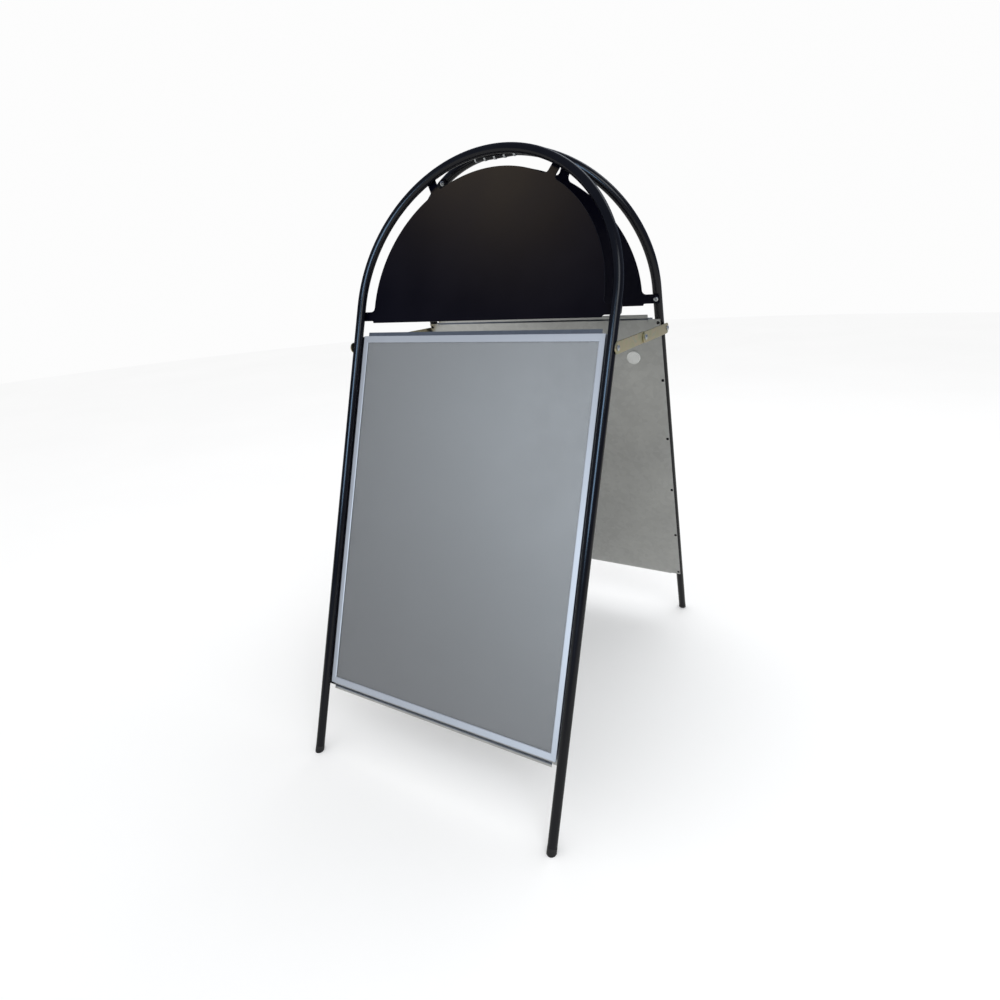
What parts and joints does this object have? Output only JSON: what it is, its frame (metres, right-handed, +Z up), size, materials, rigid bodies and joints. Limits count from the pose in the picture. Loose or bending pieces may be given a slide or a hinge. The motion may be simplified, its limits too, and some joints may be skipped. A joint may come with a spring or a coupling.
{
  "type": "sandwich board",
  "caption": "Folding A-frame pavement sign: arched tube frames with header plates and slide-in poster pockets, joined by a top hinge and folding side stays.",
  "frame": {"origin": "on the ground, midway between the four feet, at the centre of the bounding box's base", "axes": "+Z up; -Y the way the front panel faces; +X to the right of a reader who faces the front panel"},
  "size_m": [0.574, 0.884, 1.1324],
  "materials": {
    "frame_paint": "satin-gloss black powder coat",
    "header_paint": "matte black powder coat",
    "foot_plastic": "moulded black plastic",
    "sheet_steel": "galvanised sheet steel with faint spangle",
    "border_profile": "silver satin",
    "poster_card": "plain matte grey card",
    "clear_cover": "clear anti-glare plastic sheet",
    "bright_zinc": "bright zinc-plated steel",
    "yellow_zinc": "pale yellow zinc-plated steel strap",
    "pad_felt": "pale felt bumper disc"
  },
  "bodies": {
    "front_frame": {"front_tube_frame": "frame_paint", "front_foot_left": "foot_plastic", "front_foot_right": "foot_plastic", "front_header_plate": "header_paint", "front_back_sheet": "sheet_steel", "front_border_top": "border_profile", "front_border_bottom": "border_profile", "front_border_left": "border_profile", "front_border_right": "border_profile", "front_hinge_leaf": "frame_paint", "front_header_screw_upper_left": "bright_zinc", "front_header_screw_upper_right": "bright_zinc", "front_header_screw_lower_left": "bright_zinc", "front_header_screw_lower_right": "bright_zinc", "front_sheet_rivet_upper_left": "frame_paint", "front_sheet_rivet_upper_right": "frame_paint", "front_sheet_rivet_lower_left": "frame_paint", "front_sheet_rivet_lower_right": "frame_paint", "hinge_pin": "bright_zinc", "hinge_washer_1": "bright_zinc", "hinge_washer_2": "bright_zinc", "hinge_washer_3": "bright_zinc", "stay_left_front_bolt": "bright_zinc", "stay_right_front_bolt": "bright_zinc"},
    "rear_frame": {"rear_tube_frame": "frame_paint", "rear_foot_left": "foot_plastic", "rear_foot_right": "foot_plastic", "rear_header_plate": "header_paint", "rear_back_sheet": "sheet_steel", "rear_border_top": "border_profile", "rear_border_bottom": "border_profile", "rear_border_left": "border_profile", "rear_border_right": "border_profile", "rear_hinge_leaf": "frame_paint", "rear_header_screw_upper_left": "bright_zinc", "rear_header_screw_upper_right": "bright_zinc", "rear_header_screw_lower_left": "bright_zinc", "rear_header_screw_lower_right": "bright_zinc", "rear_sheet_rivet_upper_left": "frame_paint", "rear_sheet_rivet_upper_right": "frame_paint", "rear_sheet_rivet_lower_left": "frame_paint", "rear_sheet_rivet_lower_right": "frame_paint", "rear_pad": "pad_felt", "stay_left_rear_bolt": "bright_zinc", "stay_right_rear_bolt": "bright_zinc"},
    "front_poster": {"front_poster_card": "poster_card", "front_clear_cover": "clear_cover"},
    "rear_poster": {"rear_poster_card": "poster_card", "rear_clear_cover": "clear_cover"},
    "left_front_link": {"stay_left_front_link": "yellow_zinc", "stay_left_rivet_tail": "bright_zinc"},
    "left_rear_link": {"stay_left_rear_link": "yellow_zinc", "stay_left_rivet_head": "bright_zinc"},
    "right_front_link": {"stay_right_front_link": "yellow_zinc", "stay_right_rivet_tail": "bright_zinc"},
    "right_rear_link": {"stay_right_rear_link": "yellow_zinc", "stay_right_rivet_head": "bright_zinc"}
  },
  "joints": [
    {"name": "frame_fold", "type": "hinge", "parent": "front_frame", "child": "rear_frame", "pos_m": [0, 0, 1.11577], "axis": [1, 0, 0], "range_deg": [-40.68, 0]},
    {"name": "left_front_link_turn", "type": "hinge", "parent": "front_frame", "child": "left_front_link", "pos_m": [-0.2803, -0.1387, 0.79278], "axis": [1, 0, 0], "range_deg": [0, 62.29]},
    {"name": "right_front_link_turn", "type": "hinge", "parent": "front_frame", "child": "right_front_link", "pos_m": [0.2803, -0.1387, 0.79278], "axis": [1, 0, 0], "range_deg": [0, 62.29]},
    {"name": "left_rear_link_turn", "type": "hinge", "parent": "rear_frame", "child": "left_rear_link", "pos_m": [-0.2828, 0.1387, 0.79278], "axis": [1, 0, 0], "range_deg": [-62.29, 0]},
    {"name": "right_rear_link_turn", "type": "hinge", "parent": "rear_frame", "child": "right_rear_link", "pos_m": [0.2828, 0.1387, 0.79278], "axis": [1, 0, 0], "range_deg": [-62.29, 0]},
    {"name": "front_poster_slide", "type": "slide", "parent": "front_frame", "child": "front_poster", "axis": [0, 0.3476, 0.9376], "range_m": [0, 0.12]},
    {"name": "rear_poster_slide", "type": "slide", "parent": "rear_frame", "child": "rear_poster", "axis": [0, -0.3476, 0.9376], "range_m": [0, 0.12]}
  ],
  "couplings": [
    {"joint": "left_front_link_turn", "follows": "frame_fold", "ratio": -1.5313},
    {"joint": "right_front_link_turn", "follows": "frame_fold", "ratio": -1.5313},
    {"joint": "left_rear_link_turn", "follows": "frame_fold", "ratio": 1.5313},
    {"joint": "right_rear_link_turn", "follows": "frame_fold", "ratio": 1.5313}
  ]
}
